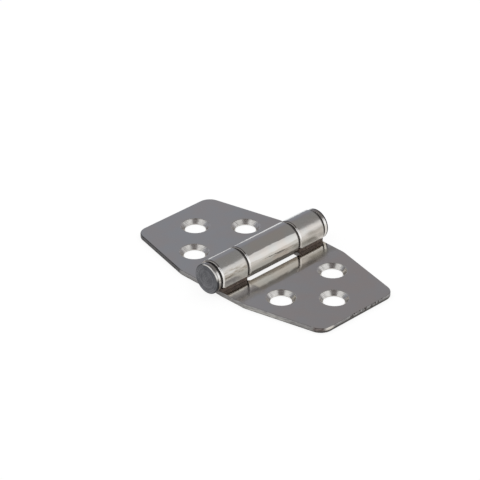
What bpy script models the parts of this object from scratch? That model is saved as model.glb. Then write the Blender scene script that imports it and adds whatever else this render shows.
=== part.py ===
"""Friction hinge: two sheet leaves rolled into knuckles round one pin.

Spring clips fill the middle knuckle. They grip the pin, and their tails lie in the open seam of
the knuckle, so the swinging leaf drags them round and stays wherever it is left.

Metres, +Z up. X runs across the open leaves and Y along the pin. The origin is on the underside
of the leaves, straight below the middle of the pin.
"""

import math

import bmesh
import bpy
from mathutils import Matrix, Vector

# Sheet, pin and what lies between them
SHEET_T = 0.0015
PIN_D = 0.005
CLIP_WALL = 0.00092
CLIP_PIN_GAP = 0.00003
BORE_GAP = 0.00005
ROLL_END_ANGLE = 25.0

# Outline of one leaf, measured from the pin's axis
LEAF_REACH = 0.038
LEAF_W = 0.041
TIP_W = 0.0292
SHOULDER_X = 0.0128
SHOULDER_R = 0.006
TIP_R = 0.004
NOTCH_GAP = 0.0001
EDGE_R = 0.0002

# Countersunk screw holes: one near the far edge and a pair nearer the pin
SCREW_HOLE_D = 0.0062
SINK_D = 0.0086
SINK_ANGLE = 90.0
END_HOLE_MARGIN = 0.0097
PAIR_STEP = 0.0106
PAIR_SPACING = 0.0209

# Lengths along the pin
MIDDLE_KNUCKLE_L = 0.0202
SEAM_W = 0.0005
AXIAL_GAP = 0.00005
END_WASHER_T = 0.00035
CAP_T = 0.0016

# Pin ends and caps
CAP_INSET = 0.0004
CAP_EDGE_R = 0.0003
STEM_D = 0.002
STEM_L = 0.003
STEM_GAP = 0.00002
STEM_END_GAP = 0.0003
PIN_CHAMFER = 0.0002
FLAT_DEPTH = 0.0003
PIN_FIT = 0.00003

# Washers, liners and clips
THRUST_WASHER_INSET = 0.0004
END_WASHER_INSET = 0.0007
KEY_GAP = 0.0001
KEY_RECESS = 0.00015
CLIP_T = 0.0016
CLIP_SPACE = 0.0003
CLIP_END_ANGLE = 15.0

# Fineness of round shapes
ARC_STEP = 7.5
RIM_STEP = 30.0
TURN_STEPS = 48
CUT_MARGIN = 0.0008

# Worked out from the sizes above
PIN_R = PIN_D / 2
CLIP_BORE_R = PIN_R + CLIP_PIN_GAP
FILL_R = CLIP_BORE_R + CLIP_WALL
BORE_R = FILL_R + BORE_GAP
BARREL_R = BORE_R + SHEET_T
AXIS_Z = BARREL_R
SEAM_MOUTH_X = BARREL_R * math.cos(math.radians(ROLL_END_ANGLE))
SEAM_MOUTH_Z = -BARREL_R * math.sin(math.radians(ROLL_END_ANGLE))
NOTCH_X = BARREL_R + NOTCH_GAP
MIDDLE_END = MIDDLE_KNUCKLE_L / 2
OUTER_START = MIDDLE_END + SEAM_W
OUTER_END = LEAF_W / 2
CAP_IN = OUTER_END + END_WASHER_T + 2 * AXIAL_GAP
CAP_R = BARREL_R - CAP_INSET
PIN_END = CAP_IN - AXIAL_GAP
FLAT_Z = PIN_R - FLAT_DEPTH


def empty_scene():
    for old in list(bpy.data.objects):
        bpy.data.objects.remove(old, do_unlink=True)


def new_collection(name):
    collection = bpy.data.collections.new(name)
    bpy.context.scene.collection.children.link(collection)
    return collection


def finish(name, colour, metallic, roughness):
    """One plain material for a kind of piece."""
    material = bpy.data.materials.new(name)
    material.use_nodes = True
    shader = material.node_tree.nodes["Principled BSDF"]
    shader.inputs["Base Color"].default_value = (*colour, 1.0)
    shader.inputs["Metallic"].default_value = metallic
    shader.inputs["Roughness"].default_value = roughness
    return material


def arc(radius, start, end, centre=(0.0, 0.0), step=ARC_STEP):
    """Points along an arc between two angles in degrees, both ends included."""
    steps = max(1, math.ceil(abs(end - start) / step))
    angles = [math.radians(start + (end - start) * i / steps) for i in range(steps + 1)]
    return [(centre[0] + radius * math.cos(a), centre[1] + radius * math.sin(a)) for a in angles]


def rounded_outline(corners):
    """Closed outline through (x, y, radius) corners, each one turned by an arc of its radius."""
    outline = []
    for i, (x, y, radius) in enumerate(corners):
        if radius == 0:
            outline.append((x, y))
            continue
        corner = Vector((x, y))
        back = (Vector(corners[i - 1][:2]) - corner).normalized()
        ahead = (Vector(corners[(i + 1) % len(corners)][:2]) - corner).normalized()
        half_angle = back.angle(ahead) / 2
        centre = corner + (back + ahead).normalized() * radius / math.sin(half_angle)
        first = corner + back * radius / math.tan(half_angle) - centre
        last = corner + ahead * radius / math.tan(half_angle) - centre
        start = math.degrees(math.atan2(first.y, first.x))
        end = math.degrees(math.atan2(last.y, last.x))
        sweep = (end - start + 180) % 360 - 180
        outline += arc(radius, start, start + sweep, centre)
    return outline


def rolled_strip(side, reach, bore_r, thickness, end_angle):
    """Side view of a strip that lies flat towards `side`, then rolls once round the origin."""
    outer_r = bore_r + thickness
    free_end = 540 + end_angle
    tip = [(-reach, -bore_r), (-reach, -outer_r)]
    outline = tip + arc(outer_r, 270, free_end) + arc(bore_r, free_end, 270)
    return [(-side * x, z) for x, z in outline]


def keyed_ring(side, radius, key_reach, key_top):
    """Side view of a liner: round, with a key along its foot that points towards `side`."""
    key_angle = math.degrees(math.asin(key_top / radius))
    key = [(0.0, -radius), (key_reach, -radius), (key_reach, key_top)]
    outline = key + arc(radius, key_angle, 270)[:-1]
    return [(side * x, z) for x, z in outline]


def flatted_round(radius, flat_z):
    """Circle cut off flat above and below."""
    edge = math.degrees(math.asin(flat_z / radius))
    return arc(radius, -edge, edge) + arc(radius, 180 - edge, 180 + edge)


def extruded(name, collection, outlines, length, upright=False):
    """Solid from flat outlines, the first one outside and the others holes in it.

    The outlines lie in X-Z and run evenly to both sides along Y, or lie in X-Y and run along Z
    where upright is set.
    """
    curve = bpy.data.curves.new(name, "CURVE")
    curve.dimensions = "2D"
    curve.fill_mode = "BOTH"
    curve.extrude = length / 2
    for outline in outlines:
        spline = curve.splines.new("POLY")
        spline.points.add(len(outline) - 1)
        for point, (x, y) in zip(spline.points, outline):
            point.co = (x, y, 0.0, 1.0)
        spline.use_cyclic_u = True
    drawn = bpy.data.objects.new(name + "_outline", curve)
    bpy.context.scene.collection.objects.link(drawn)
    if not upright:
        drawn.rotation_euler = (math.radians(90), 0.0, 0.0)
    bpy.context.view_layer.update()
    filled = drawn.evaluated_get(bpy.context.evaluated_depsgraph_get())
    mesh = bpy.data.meshes.new_from_object(filled)
    solid = bpy.data.objects.new(name, mesh)
    solid.matrix_world = drawn.matrix_world.copy()
    bpy.data.objects.remove(drawn, do_unlink=True)
    weld = bmesh.new()
    weld.from_mesh(mesh)
    bmesh.ops.remove_doubles(weld, verts=weld.verts, dist=1e-7)
    bmesh.ops.recalc_face_normals(weld, faces=weld.faces)
    weld.to_mesh(mesh)
    weld.free()
    mesh.shade_smooth()
    mesh.set_sharp_from_angle(angle=math.radians(30))
    collection.objects.link(solid)
    return solid


def turned(name, collection, profile, closed=False):
    """Round piece spun about its local Z from (radius, height) points, outer side going down."""
    mesh = bpy.data.meshes.new(name)
    edges = [(i, i + 1) for i in range(len(profile) - 1)]
    if closed:
        edges.append((len(profile) - 1, 0))
    mesh.from_pydata([(r, 0.0, z) for r, z in profile], edges, [])
    solid = bpy.data.objects.new(name, mesh)
    collection.objects.link(solid)
    turn = solid.modifiers.new("Turn", "SCREW")
    turn.axis = "Z"
    turn.steps = TURN_STEPS
    turn.render_steps = TURN_STEPS
    turn.use_merge_vertices = True
    turn.merge_threshold = 1e-6
    return solid


def box(name, collection, low, high):
    mesh = bpy.data.meshes.new(name)
    solid = bpy.data.objects.new(name, mesh)
    size = Vector(high) - Vector(low)
    middle = (Vector(high) + Vector(low)) / 2
    placed = Matrix.Translation(middle) @ Matrix.Diagonal((*size, 1))
    shape = bmesh.new()
    bmesh.ops.create_cube(shape, size=1.0, matrix=placed)
    shape.to_mesh(mesh)
    shape.free()
    collection.objects.link(solid)
    return solid


def hide_cutter(cutter):
    cutter.hide_render = True
    cutter.display_type = "WIRE"


def combine(solid, cutter, operation):
    step = solid.modifiers.new(cutter.name, "BOOLEAN")
    step.operation = operation
    step.solver = "EXACT"
    step.object = cutter
    hide_cutter(cutter)


def point_along_pin(solid, end):
    """Turn a round piece's local Z to +Y (end 1) or -Y (end -1)."""
    solid.rotation_euler = (math.radians(-90 * end), 0.0, 0.0)


def leaf_outline(side, knuckle_spans):
    """Plan of one flat blank: the leaf, and a tongue for each knuckle that is rolled from it."""
    past_roll = -BARREL_R - CUT_MARGIN
    plan = [
        (SHOULDER_X, -LEAF_W / 2, SHOULDER_R),
        (LEAF_REACH, -TIP_W / 2, TIP_R),
        (LEAF_REACH, TIP_W / 2, TIP_R),
        (SHOULDER_X, LEAF_W / 2, SHOULDER_R),
    ]
    for low, high in reversed(knuckle_spans):
        if high < LEAF_W / 2:
            plan.append((NOTCH_X, high, 0))
        plan += [(past_roll, high, 0), (past_roll, low, 0)]
        if low > -LEAF_W / 2:
            plan.append((NOTCH_X, low, 0))
    if knuckle_spans[0][0] > -LEAF_W / 2:
        plan.append((NOTCH_X, -LEAF_W / 2, 0))
        plan.insert(4, (NOTCH_X, LEAF_W / 2, 0))
    return [(side * x, y) for x, y in rounded_outline(plan)]


def screw_hole_places():
    """Hole centres of one leaf as distances from the pin's axis and along it."""
    end_hole = LEAF_REACH - END_HOLE_MARGIN
    pair = end_hole - PAIR_STEP
    return [(end_hole, 0.0), (pair, PAIR_SPACING / 2), (pair, -PAIR_SPACING / 2)]


def countersink_profile():
    """Cutter for one screw hole: a cone from the top of the sheet into a short straight hole."""
    slope = math.tan(math.radians(SINK_ANGLE / 2))
    sheet_top = -BORE_R
    cone_foot = sheet_top - (SINK_D - SCREW_HOLE_D) / 2 / slope
    above = sheet_top + CUT_MARGIN
    below = -BARREL_R - CUT_MARGIN
    mouth_r = SINK_D / 2 + CUT_MARGIN * slope
    hole_r = SCREW_HOLE_D / 2
    return [(0.0, above), (mouth_r, above), (hole_r, cone_foot), (hole_r, below), (0.0, below)]


def make_leaf(name, parts, cutters, side, knuckle_spans, steel):
    """Leaf with its knuckles: side view of the rolled sheet, kept where the blank's plan has metal."""
    rolled = rolled_strip(side, LEAF_REACH + CUT_MARGIN, BORE_R, SHEET_T, ROLL_END_ANGLE)
    leaf = extruded(name, parts, [rolled], LEAF_W + 2 * CUT_MARGIN)
    plan = leaf_outline(side, knuckle_spans)
    blank = extruded(name + "_plan", cutters, [plan], 2 * (BARREL_R + CUT_MARGIN), upright=True)
    combine(leaf, blank, "INTERSECT")
    edges = leaf.modifiers.new("Polished edges", "BEVEL")
    edges.width = EDGE_R
    edges.segments = 2
    edges.limit_method = "ANGLE"
    edges.angle_limit = math.radians(40)
    for number, (x, y) in enumerate(screw_hole_places(), start=1):
        sink = turned(f"{name}_screw_hole_{number}", cutters, countersink_profile())
        sink.location = (side * x, y, 0.0)
        combine(leaf, sink, "DIFFERENCE")
    shading = leaf.modifiers.new("Flat faces stay flat", "WEIGHTED_NORMAL")
    shading.keep_sharp = True
    leaf.data.materials.append(steel)
    return leaf


def make_pin(parts, cutters, steel):
    """Pin, drilled at both ends for the caps' stems and flatted where the liners hold it."""
    hole_r = STEM_D / 2 + STEM_GAP
    hole_foot = CAP_IN - STEM_L - STEM_END_GAP
    upper = [
        (0.0, hole_foot),
        (hole_r, hole_foot),
        (hole_r, PIN_END),
        (PIN_R - PIN_CHAMFER, PIN_END),
        (PIN_R, PIN_END - PIN_CHAMFER),
    ]
    lower = [(r, -z) for r, z in reversed(upper)]
    pin = turned("hinge_pin", parts, upper + lower)
    point_along_pin(pin, 1)
    past_pin = PIN_R + CUT_MARGIN
    past_end = PIN_END + CUT_MARGIN
    ends = {"near": (-past_end, -OUTER_START), "far": (OUTER_START, past_end)}
    faces = {"foot": (-past_pin, -FLAT_Z), "top": (FLAT_Z, past_pin)}
    for end, (y_low, y_high) in ends.items():
        for face, (z_low, z_high) in faces.items():
            low = (-past_pin, y_low, z_low)
            high = (past_pin, y_high, z_high)
            flat = box(f"pin_flat_{end}_{face}", cutters, low, high)
            combine(pin, flat, "DIFFERENCE")
    pin.data.materials.append(steel)
    return pin


def make_cap(name, parts, end, steel):
    """Turned disc with a rounded rim, held by a stem pressed into the drilled pin."""
    outer = CAP_IN + CAP_T
    rim = arc(CAP_EDGE_R, 90, 0, centre=(CAP_R - CAP_EDGE_R, outer - CAP_EDGE_R), step=RIM_STEP)
    foot = CAP_IN - STEM_L
    stem = [(CAP_R, CAP_IN), (STEM_D / 2, CAP_IN), (STEM_D / 2, foot), (0.0, foot)]
    cap = turned(name, parts, [(0.0, outer)] + rim + stem)
    point_along_pin(cap, end)
    cap.data.materials.append(steel)
    return cap


def make_washer(name, parts, end, start, thickness, outer_r, material):
    """Flat ring on the pin, starting at a distance along it."""
    inner_r = PIN_R + PIN_FIT
    top = start + thickness
    ring = [(outer_r, top), (outer_r, start), (inner_r, start), (inner_r, top)]
    washer = turned(name, parts, ring, closed=True)
    point_along_pin(washer, end)
    washer.data.materials.append(material)
    return washer


def make_liner(name, parts, end, side, material):
    """Moulded sleeve in an outer knuckle: keyed in the seam outside and on the pin's flats inside."""
    outside = keyed_ring(side, FILL_R, SEAM_MOUTH_X - KEY_RECESS, SEAM_MOUTH_Z - KEY_GAP)
    inside = flatted_round(PIN_R + PIN_FIT, FLAT_Z + PIN_FIT)
    length = OUTER_END - OUTER_START - 2 * AXIAL_GAP
    liner = extruded(name, parts, [outside, inside], length)
    liner.location.y = end * (OUTER_START + OUTER_END) / 2
    liner.data.materials.append(material)
    return liner


def make_clips(parts, side, steel):
    """Stack of spring strips bent round the pin, tails lying in the middle knuckle's seam."""
    pitch = CLIP_T + CLIP_SPACE
    count = int((MIDDLE_KNUCKLE_L - CLIP_SPACE) // pitch)
    strip = rolled_strip(side, SEAM_MOUTH_X - KEY_RECESS, CLIP_BORE_R, CLIP_WALL, CLIP_END_ANGLE)
    first = extruded("friction_clip_01", parts, [strip], CLIP_T)
    first.data.materials.append(steel)
    clips = [first]
    for number in range(2, count + 1):
        clip = bpy.data.objects.new(f"friction_clip_{number:02d}", first.data)
        clip.rotation_euler = first.rotation_euler
        parts.objects.link(clip)
        clips.append(clip)
    for place, clip in enumerate(clips):
        clip.location.y = (place - (count - 1) / 2) * pitch
    return clips


def hang_on_axis(name, pieces):
    """Empty on the pin's axis that carries one side of the hinge."""
    axis = bpy.data.objects.new(name, None)
    axis.location.z = AXIS_Z
    axis.empty_display_size = BARREL_R
    bpy.context.scene.collection.objects.link(axis)
    for piece in pieces:
        piece.parent = axis


def main():
    empty_scene()
    parts = new_collection("friction_hinge")
    cutters = new_collection("friction_hinge_cutters")
    polished = finish("polished_sheet", (0.62, 0.60, 0.58), 1.0, 0.12)
    turned_steel = finish("turned_steel", (0.45, 0.46, 0.48), 1.0, 0.3)
    spring_steel = finish("spring_steel", (0.35, 0.34, 0.33), 1.0, 0.35)
    dark_ring = finish("dark_washer", (0.02, 0.02, 0.02), 0.0, 0.5)
    liner_brown = finish("liner_moulding", (0.05, 0.035, 0.03), 0.0, 0.5)

    middle_span = [(-MIDDLE_END, MIDDLE_END)]
    outer_spans = [(-OUTER_END, -OUTER_START), (OUTER_START, OUTER_END)]
    swinging = [make_leaf("leaf_with_middle_knuckle", parts, cutters, -1, middle_span, polished)]
    swinging += make_clips(parts, -1, spring_steel)

    fixed = [
        make_leaf("leaf_with_outer_knuckles", parts, cutters, 1, outer_spans, polished),
        make_pin(parts, cutters, turned_steel),
    ]
    for word, end in (("near", -1), ("far", 1)):
        thrust = (MIDDLE_END + AXIAL_GAP, SEAM_W - 2 * AXIAL_GAP, BARREL_R - THRUST_WASHER_INSET)
        behind_cap = (OUTER_END + AXIAL_GAP, END_WASHER_T, BARREL_R - END_WASHER_INSET)
        fixed += [
            make_washer(f"thrust_washer_{word}", parts, end, *thrust, dark_ring),
            make_liner(f"knuckle_liner_{word}", parts, end, 1, liner_brown),
            make_washer(f"end_washer_{word}", parts, end, *behind_cap, dark_ring),
            make_cap(f"end_cap_{word}", parts, end, turned_steel),
        ]
    for cutter in cutters.objects:
        (swinging if cutter.name.startswith(swinging[0].name) else fixed).append(cutter)
    hang_on_axis("swinging_side", swinging)
    hang_on_axis("fixed_side", fixed)


main()
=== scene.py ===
"""Friction hinge in a small light tent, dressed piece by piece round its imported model."""

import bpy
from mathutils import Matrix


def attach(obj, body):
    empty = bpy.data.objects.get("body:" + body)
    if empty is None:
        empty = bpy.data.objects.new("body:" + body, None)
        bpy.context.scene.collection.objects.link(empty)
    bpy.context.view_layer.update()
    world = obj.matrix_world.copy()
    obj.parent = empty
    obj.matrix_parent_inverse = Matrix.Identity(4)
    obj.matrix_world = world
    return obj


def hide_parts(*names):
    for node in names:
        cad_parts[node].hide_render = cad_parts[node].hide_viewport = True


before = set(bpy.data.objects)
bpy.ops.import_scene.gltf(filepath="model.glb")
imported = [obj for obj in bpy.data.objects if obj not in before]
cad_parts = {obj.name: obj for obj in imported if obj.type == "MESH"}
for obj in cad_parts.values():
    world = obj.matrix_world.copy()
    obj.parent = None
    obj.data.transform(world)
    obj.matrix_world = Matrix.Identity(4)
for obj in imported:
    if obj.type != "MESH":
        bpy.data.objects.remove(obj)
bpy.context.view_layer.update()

import math

import bpy
from mathutils import Matrix, Vector
from mathutils.geometry import tessellate_polygon


# Leaf with the two outer knuckles, on the right.
# One blank of 1.5 mm stainless sheet: punched with its holes and notch, tumbled so that its edges
# are round, polished to a mirror, and its two tongues rolled up round the pin.
SHEET_T = 0.0015
BARREL_R = 0.005
LEAF_REACH = 0.038
LEAF_HALF_W = 0.0205
TIP_HALF_W = 0.0146
SHOULDER_X = 0.0128
SHOULDER_R = 0.006
TIP_R = 0.004
NOTCH_X = 0.00502
NOTCH_CORNER_R = 0.0008
TONGUE_CORNER_R = 0.0007
EDGE_R = 0.0003
NOTCH_EDGE_R = 0.00012
TONGUE_EDGE_R = 0.0005
CORNER_STEP_DEG = 5.0
ROLL_DEG = 298.5
ROLL_STEP_DEG = 2.5
MIDLINE_R = BARREL_R - SHEET_T / 2
TONGUE_END = -math.radians(ROLL_DEG) * MIDLINE_R
OUTER_TONGUES = [(-0.0205, -0.0106), (0.0106, 0.0205)]
OUTER_STRAIGHT_DEG = 26.0
# Stretch of the tongues' near edge that gets a painted highlight.
OUTER_HIGHLIGHT = (-0.0300, -0.0160)
FLARE_L = 0.0007
FLARE_H = 0.00007
BULGE_AT = -0.0052
BULGE_L = 0.00125
BULGE_H = 0.00008
# The outside of each knuckle's start, between these places on the blank, is darker steel: painted
# shade.
KNUCKLE_SHADE_FROM = -0.0004
KNUCKLE_SHADE_MIDDLE = -0.0044
KNUCKLE_SHADE_TO = -0.0057
HOLE_R = 0.0031
SINK_R = 0.0043
SINK_SLOPE = math.radians(45)
SINK_LIP_R = 0.0005
SINK_LIP_BENDS = 4
HOLE_STEPS = 96
SCREW_HOLES = [(0.0283, 0.0), (0.0177, 0.01045), (0.0177, -0.01045)]
POLISHED, TUMBLED, SUNK, UNDERSIDE_EDGE, SHADED_KNUCKLE_START, SHEARED, HIGHLIT_KNUCKLE_EDGE, SHADED_KNUCKLE_EDGE = range(8)


def rounded(corners):
    """Closed outline with its outward normals, from (u, y, radius) corners taken anticlockwise."""
    outline = []
    for i, (u, y, radius) in enumerate(corners):
        corner = Vector((u, y))
        behind = (Vector(corners[i - 1][:2]) - corner).normalized()
        ahead = (Vector(corners[(i + 1) % len(corners)][:2]) - corner).normalized()
        half = behind.angle(ahead) / 2
        centre = corner + (behind + ahead).normalized() * radius / math.sin(half)
        first = (corner + behind * radius / math.tan(half) - centre).normalized()
        last = (corner + ahead * radius / math.tan(half) - centre).normalized()
        turn = -first.angle_signed(last)
        outward = 1 if turn > 0 else -1
        steps = max(2, math.ceil(abs(math.degrees(turn)) / CORNER_STEP_DEG))
        for k in range(steps + 1):
            spoke = Matrix.Rotation(turn * k / steps, 2) @ first
            outline.append((centre + spoke * radius, spoke * outward))
    return outline


def blank_corners(tongues):
    """Corners of the flat blank, with the fillet radius of each."""
    corners = [
        (SHOULDER_X, -LEAF_HALF_W, SHOULDER_R),
        (LEAF_REACH, -TIP_HALF_W, TIP_R),
        (LEAF_REACH, TIP_HALF_W, TIP_R),
        (SHOULDER_X, LEAF_HALF_W, SHOULDER_R),
    ]
    if tongues[-1][1] < LEAF_HALF_W:
        corners.append((NOTCH_X, LEAF_HALF_W, NOTCH_CORNER_R))
    for low, high in reversed(tongues):
        if high < LEAF_HALF_W:
            corners.append((NOTCH_X, high, NOTCH_CORNER_R))
        corners.append((TONGUE_END, high, TONGUE_CORNER_R))
        corners.append((TONGUE_END, low, TONGUE_CORNER_R))
        if low > -LEAF_HALF_W:
            corners.append((NOTCH_X, low, NOTCH_CORNER_R))
    if tongues[0][0] > -LEAF_HALF_W:
        corners.append((NOTCH_X, -LEAF_HALF_W, NOTCH_CORNER_R))
    return corners


TONGUE_ROOT = NOTCH_X - 1.5 * NOTCH_CORNER_R
CLOSE = 0.00001


def blank_outline(tongues):
    """Outline of the flat blank, with a point at each bend down both sides of each tongue."""
    drawn = rounded(blank_corners(tongues))
    bends = round(ROLL_DEG / ROLL_STEP_DEG)
    stations = [TONGUE_ROOT] + [TONGUE_END * k / bends for k in range(bends)]
    outline = []
    for i, (place, normal) in enumerate(drawn):
        outline.append((place, normal))
        ahead = drawn[(i + 1) % len(drawn)][0]
        crosses = min(place.x, ahead.x) < 0 < max(place.x, ahead.x)
        if crosses and abs(place.y - ahead.y) < CLOSE:
            low, high = sorted((place.x, ahead.x))
            between = [u for u in stations if low + CLOSE < u < high - CLOSE]
            if ahead.x > place.x:
                between.reverse()
            outline += [(Vector((u, place.y)), normal) for u in between]
    return outline


EDGE_TILTS = [90, 67.5, 45, 22.5, 0, 0, -22.5, -45, -67.5, -90]
EDGE_WALL = 4


def edge_point(row, u):
    """Inset, height and tilt of one row of the rounded edge, from the top face down.

    The tongues' edges are rounded the most, where they are polished, and the notch's the least.
    """
    radius = EDGE_R
    if u < TONGUE_ROOT - CLOSE:
        radius = TONGUE_EDGE_R
    elif u < NOTCH_X + CLOSE:
        radius = NOTCH_EDGE_R
    turn = math.radians(EDGE_TILTS[row])
    inset = radius * (1 - math.cos(turn))
    if row <= EDGE_WALL:
        return inset, SHEET_T - radius * (1 - math.sin(turn)), turn
    return inset, radius * (1 + math.sin(turn)), turn


def hole_section():
    """Radius and height of a countersunk hole from the top face down, with its wall's tilt.

    Polishing turns the countersink's rim over, from the flat face into the cone.
    """
    start = SINK_R + SINK_LIP_R * math.tan(SINK_SLOPE / 2)
    section = []
    for k in range(SINK_LIP_BENDS + 1):
        turn = SINK_SLOPE * k / SINK_LIP_BENDS
        radius = start - SINK_LIP_R * math.sin(turn)
        height = SHEET_T - SINK_LIP_R * (1 - math.cos(turn))
        section.append((radius, height, math.radians(90) - turn))
    foot = SHEET_T - (SINK_R - HOLE_R)
    return section + [
        (HOLE_R, foot, SINK_SLOPE),
        (HOLE_R, foot, 0.0),
        (HOLE_R, EDGE_R / 2, 0.0),
        (HOLE_R + EDGE_R / 4, EDGE_R / 8, math.radians(-60)),
        (HOLE_R + EDGE_R / 2, 0.0, math.radians(-90)),
    ]


def edge_faces(outline, painted_highlight, sheet):
    """Rounded edge all round the blank. The tongues' lower one comes outside and is polished.

    Its near side gets a painted highlight between two places along the tongue, and the rest painted
    shade.
    """
    count = len(outline)
    for row in range(len(EDGE_TILTS)):
        for place, out in outline:
            inset, height, tilt = edge_point(row, place.x)
            at = place - out * inset
            flat = math.cos(tilt)
            sheet["points"].append((at.x, at.y, height))
            sheet["normals"].append((out.x * flat, out.y * flat, math.sin(tilt)))
    for row in range(len(EDGE_TILTS) - 1):
        for i in range(count):
            j = (i + 1) % count
            upper = row * count
            lower = upper + count
            sheet["faces"].append((upper + j, upper + i, lower + i, lower + j))
            at_u = outline[i][0].x
            if row > EDGE_WALL and at_u < TONGUE_ROOT:
                bright = outline[i][1].y < 0.5 and painted_highlight[0] < at_u < painted_highlight[1]
                # Painted highlight on the near side, painted shade on the rest of the knuckle edges.
                sheet["kinds"].append(HIGHLIT_KNUCKLE_EDGE if bright else SHADED_KNUCKLE_EDGE)
            # Painted shade under the leaf's edges.
            elif row > EDGE_WALL:
                sheet["kinds"].append(UNDERSIDE_EDGE)
            elif at_u < TONGUE_END + TONGUE_CORNER_R / 2:
                sheet["kinds"].append(SHEARED)
            else:
                sheet["kinds"].append(POLISHED if row < 1 else TUMBLED)
    return (len(EDGE_TILTS) - 1) * count


def tongue_faces(outline, under, sheet):
    """Top face and underside of each tongue, as one strip of quads per bend."""
    runs = [[]]
    for i in range(len(outline)):
        if outline[i][0].x < TONGUE_ROOT + CLOSE:
            runs[-1].append(i)
        elif runs[-1]:
            runs.append([])
    for run in runs:
        for k in range(len(run) // 2 - 1):
            strip = (run[k], run[k + 1], run[-2 - k], run[-1 - k])
            sheet["faces"].append(strip)
            sheet["faces"].append(tuple(under + n for n in reversed(strip)))
            middle = (outline[run[k]][0].x + outline[run[k + 1]][0].x) / 2
            # Painted shade on the outside of the knuckle's start.
            knuckle_shade = KNUCKLE_SHADE_TO < middle < KNUCKLE_SHADE_FROM
            sheet["kinds"] += [POLISHED, SHADED_KNUCKLE_START if knuckle_shade else POLISHED]


def hole_faces(u, y, sheet):
    """Countersink and bore of one screw hole, with the rings that meet the two flat faces."""
    wall = hole_section()
    start = len(sheet["points"])
    for radius, height, tilt in wall:
        for k in range(HOLE_STEPS):
            a = 2 * math.pi * k / HOLE_STEPS
            sheet["points"].append((u + radius * math.cos(a), y + radius * math.sin(a), height))
            flat = -math.cos(tilt)
            sheet["normals"].append((math.cos(a) * flat, math.sin(a) * flat, math.sin(tilt)))
    for row in range(len(wall) - 1):
        if wall[row][:2] == wall[row + 1][:2]:
            continue
        upper = start + row * HOLE_STEPS
        lower = upper + HOLE_STEPS
        clean = wall[row + 1][1] > EDGE_R / 4
        for k in range(HOLE_STEPS):
            j = (k + 1) % HOLE_STEPS
            sheet["faces"].append((upper + k, upper + j, lower + j, lower + k))
            sheet["kinds"].append(SUNK if clean else UNDERSIDE_EDGE)
    last = start + (len(wall) - 1) * HOLE_STEPS
    return range(start, start + HOLE_STEPS), range(last, last + HOLE_STEPS)


def flat_faces(loops, upward, sheet):
    """Flat face inside an outline and round its holes."""
    points = [[Vector(sheet["points"][n]) for n in loop] for loop in loops]
    order = [n for loop in loops for n in loop]
    for triangle in tessellate_polygon(points):
        a, b, c = (order[n] for n in triangle)
        pa, pb, pc = (Vector(sheet["points"][n][:2]) for n in (a, b, c))
        leftward = (pb - pa).cross(pc - pa) > 0
        sheet["faces"].append((a, b, c) if leftward == upward else (c, b, a))
        sheet["kinds"].append(POLISHED)


def rolled(place, normal, side, last_bend):
    """Where a point of the flat blank goes once rolled.

    The mandrel leaves the roll a little full near its start, and flared at its end.
    """
    u, y, w = place
    nu, ny, nw = normal
    near_end = max(0.0, 1 - (u - TONGUE_END) / FLARE_L)
    beside = (u - BULGE_AT) / BULGE_L
    full = max(0.0, 1 - beside**2)
    w -= FLARE_H * near_end**2 + BULGE_H * full**2
    nu -= (2 * FLARE_H / FLARE_L * near_end + 4 * BULGE_H / BULGE_L * full * beside) * nw
    bent = min(0.0, max(u, last_bend))
    angle = -bent / MIDLINE_R
    along = Vector((math.cos(angle), 0, -math.sin(angle)))
    through = Vector((math.sin(angle), 0, math.cos(angle)))
    pin = Vector((0, 0, BARREL_R))
    at = pin - through * (BARREL_R - w) + along * (u - bent)
    facing = along * nu + through * nw
    return (side * at.x, y, at.z), (side * facing.x, ny, facing.z)


def rolled_leaf(name, side, tongues, straight_deg, painted_highlight):
    """Sheet leaf: the blank is meshed flat, then its tongues are rolled, all but their last bit."""
    outline = blank_outline(tongues)
    last_bend = -math.radians(ROLL_DEG - straight_deg) * MIDLINE_R
    sheet = {"points": [], "normals": [], "faces": [], "kinds": []}
    under = edge_faces(outline, painted_highlight, sheet)
    tongue_faces(outline, under, sheet)
    rim = [i for i in range(len(outline)) if outline[i][0].x > TONGUE_ROOT - CLOSE]
    top_loops = [rim]
    foot_loops = [[under + n for n in rim]]
    for u, y in SCREW_HOLES:
        top, foot = hole_faces(u, y, sheet)
        top_loops.append(list(top))
        foot_loops.append(list(foot))
    flat_faces(top_loops, True, sheet)
    flat_faces(foot_loops, False, sheet)
    pairs = zip(sheet["points"], sheet["normals"])
    bent = [rolled(place, normal, side, last_bend) for place, normal in pairs]
    faces = sheet["faces"] if side > 0 else [tuple(reversed(face)) for face in sheet["faces"]]
    mesh = bpy.data.meshes.new(name)
    mesh.from_pydata([place for place, facing in bent], [], faces)
    mesh.shade_smooth()
    blank = mesh.attributes.new("blank", "FLOAT_VECTOR", "POINT")
    blank.data.foreach_set("vector", [value for place in sheet["points"] for value in place])
    mesh.normals_split_custom_set_from_vertices([facing for place, facing in bent])
    mesh.polygons.foreach_set("material_index", sheet["kinds"])
    leaf = bpy.data.objects.new(name, mesh)
    bpy.context.scene.collection.objects.link(leaf)
    return leaf


def put(tree, kind, inputs, **settings):
    """New shader node with its settings, and a value or a link on each input named."""
    made = tree.nodes.new("ShaderNode" + kind)
    for name, value in settings.items():
        setattr(made, name, value)
    for name, value in inputs.items():
        if isinstance(value, bpy.types.NodeSocket):
            tree.links.new(value, made.inputs[name])
        else:
            made.inputs[name].default_value = value
    return made


def compute(tree, operation, first, second=0.0):
    """Arithmetic on one or two values."""
    return put(tree, "Math", {0: first, 1: second}, operation=operation).outputs[0]


def fade(tree, value, start, end, low=0.0, high=1.0):
    """Smooth change from low to high as a value goes from start to end."""
    limits = {"Value": value, "From Min": start, "From Max": end, "To Min": low, "To Max": high}
    made = put(tree, "MapRange", limits, interpolation_type="SMOOTHSTEP")
    return made.outputs["Result"]


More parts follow.
